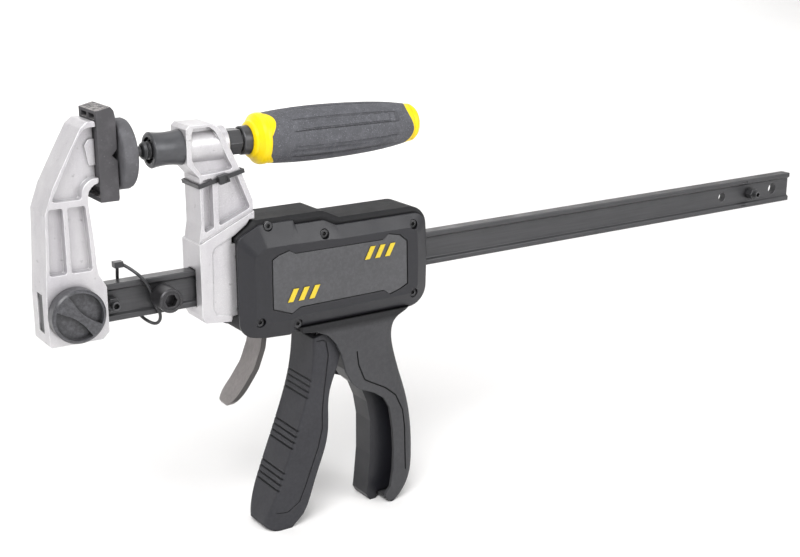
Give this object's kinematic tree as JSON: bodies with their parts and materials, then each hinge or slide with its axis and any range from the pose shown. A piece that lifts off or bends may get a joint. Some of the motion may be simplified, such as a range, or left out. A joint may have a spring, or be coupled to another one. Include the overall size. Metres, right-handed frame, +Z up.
{
  "type": "bar clamp",
  "caption": "Quick release bar clamp with a pistol handle, squeeze trigger, release lever, clamping screw and swivel pad on a long bar.",
  "frame": {"origin": "centre of the swivel pad's pressing face, on the clamping screw's axis", "axes": "+X along the bar to its free end, +Z up from the bar to the clamping screw, +Y to the back; the locking knob is on the -Y side"},
  "size_m": [0.5769, 0.0416, 0.263],
  "materials": {
    "cast_aluminium": "satin cast and painted",
    "black_steel": "satin black",
    "charcoal_plastic": "fine grained",
    "side_plate_plastic": "satin",
    "yellow_plastic": "satin",
    "accent_yellow": "printed",
    "grip_rubber": "matt",
    "pad_rubber": "matt",
    "lever_steel": "tumbled",
    "plain_steel": "oiled",
    "zinc_steel": "zinc plated",
    "cable_tie_nylon": "smooth"
  },
  "bodies": {
    "head": {"moving_jaw": "cast_aluminium", "jaw_pins": "plain_steel", "screw_nut": "plain_steel", "guide_sleeve": "charcoal_plastic", "sleeve_snap_ring": "plain_steel", "front_body_shell": "charcoal_plastic", "back_body_shell": "charcoal_plastic", "front_cover": "charcoal_plastic", "back_cover": "charcoal_plastic", "front_side_plate": "side_plate_plastic", "back_side_plate": "side_plate_plastic", "front_accents": "accent_yellow", "back_accents": "accent_yellow", "cover_screws": "black_steel", "handle_post": "charcoal_plastic", "rear_bar_guide": "charcoal_plastic", "trigger_pivot_pin": "plain_steel", "brake_spring": "plain_steel", "drive_spring": "plain_steel", "arm_cable_tie": "cable_tie_nylon"},
    "bar_and_jaw": {"bar": "black_steel", "near_stop_stud": "black_steel", "far_stop_stud": "black_steel", "stop_screw": "zinc_steel", "stop_screw_nut": "zinc_steel", "fixed_jaw": "cast_aluminium", "jaw_pad": "pad_rubber", "bar_cable_tie": "cable_tie_nylon"},
    "knob": {"lock_knob": "charcoal_plastic"},
    "pin": {"lock_pin": "plain_steel"},
    "trigger": {"trigger_grip": "charcoal_plastic", "trigger_core": "plain_steel"},
    "drive_plates": {"drive_plate_front": "plain_steel", "drive_plate_rear": "plain_steel"},
    "release": {"release_lever": "lever_steel"},
    "screw_end": {"ball_stud": "black_steel"},
    "screw": {"spindle": "black_steel", "spindle_collar": "black_steel", "handle_core": "yellow_plastic", "handle_grip": "grip_rubber", "handle_end_cap": "yellow_plastic"},
    "swivel_pad": {"pad_face": "pad_rubber", "pad_plate": "plain_steel", "pad_retainer": "charcoal_plastic"}
  },
  "joints": [
    {"name": "bar_slide", "type": "slide", "parent": "head", "child": "bar_and_jaw", "axis": [-1, 0, 0], "range_m": [0, 0.289]},
    {"name": "knob_turn", "type": "hinge", "parent": "bar_and_jaw", "child": "knob", "pos_m": [-0.0298, -0.012, -0.0796], "axis": [0, -1, 0], "range_deg": [0, 90]},
    {"name": "pin_slide", "type": "slide", "parent": "bar_and_jaw", "child": "pin", "axis": [0, -1, 0], "range_m": [0, 0.0023]},
    {"name": "trigger_squeeze", "type": "hinge", "parent": "head", "child": "trigger", "pos_m": [0.107, 0, -0.0586], "axis": [0, -1, 0], "range_deg": [0, 14], "stiffness_Nm_per_rad": 1.2, "springref_deg": -14.32},
    {"name": "drive_feed", "type": "slide", "parent": "head", "child": "drive_plates", "axis": [1, 0, 0], "range_m": [0, 0.009], "deforming": ["drive_spring"]},
    {"name": "release_pull", "type": "hinge", "parent": "head", "child": "release", "pos_m": [0.0868, 0, -0.0576], "axis": [0, -1, 0], "range_deg": [0, 5], "stiffness_Nm_per_rad": 1.2, "springref_deg": -8.59, "deforming": ["brake_spring"]},
    {"name": "screw_feed", "type": "slide", "parent": "head", "child": "screw_end", "axis": [1, 0, 0], "range_m": [0, 0.01]},
    {"name": "screw_turn", "type": "hinge", "parent": "screw_end", "child": "screw", "pos_m": [0.06, 0, 0], "axis": [1, 0, 0], "range_deg": [0, 1200]},
    {"name": "pad_tilt", "type": "hinge", "parent": "screw_end", "child": "swivel_pad", "pos_m": [0.0066, 0, 0], "axis": [0, 1, 0], "range_deg": [-4, 4]}
  ],
  "couplings": [
    {"joint": "pin_slide", "follows": "knob_turn", "m_per_rad": 0.0014642},
    {"joint": "drive_feed", "follows": "trigger_squeeze", "m_per_rad": 0.0365},
    {"joint": "screw_feed", "follows": "screw_turn", "m_per_rad": 0.000477}
  ]
}
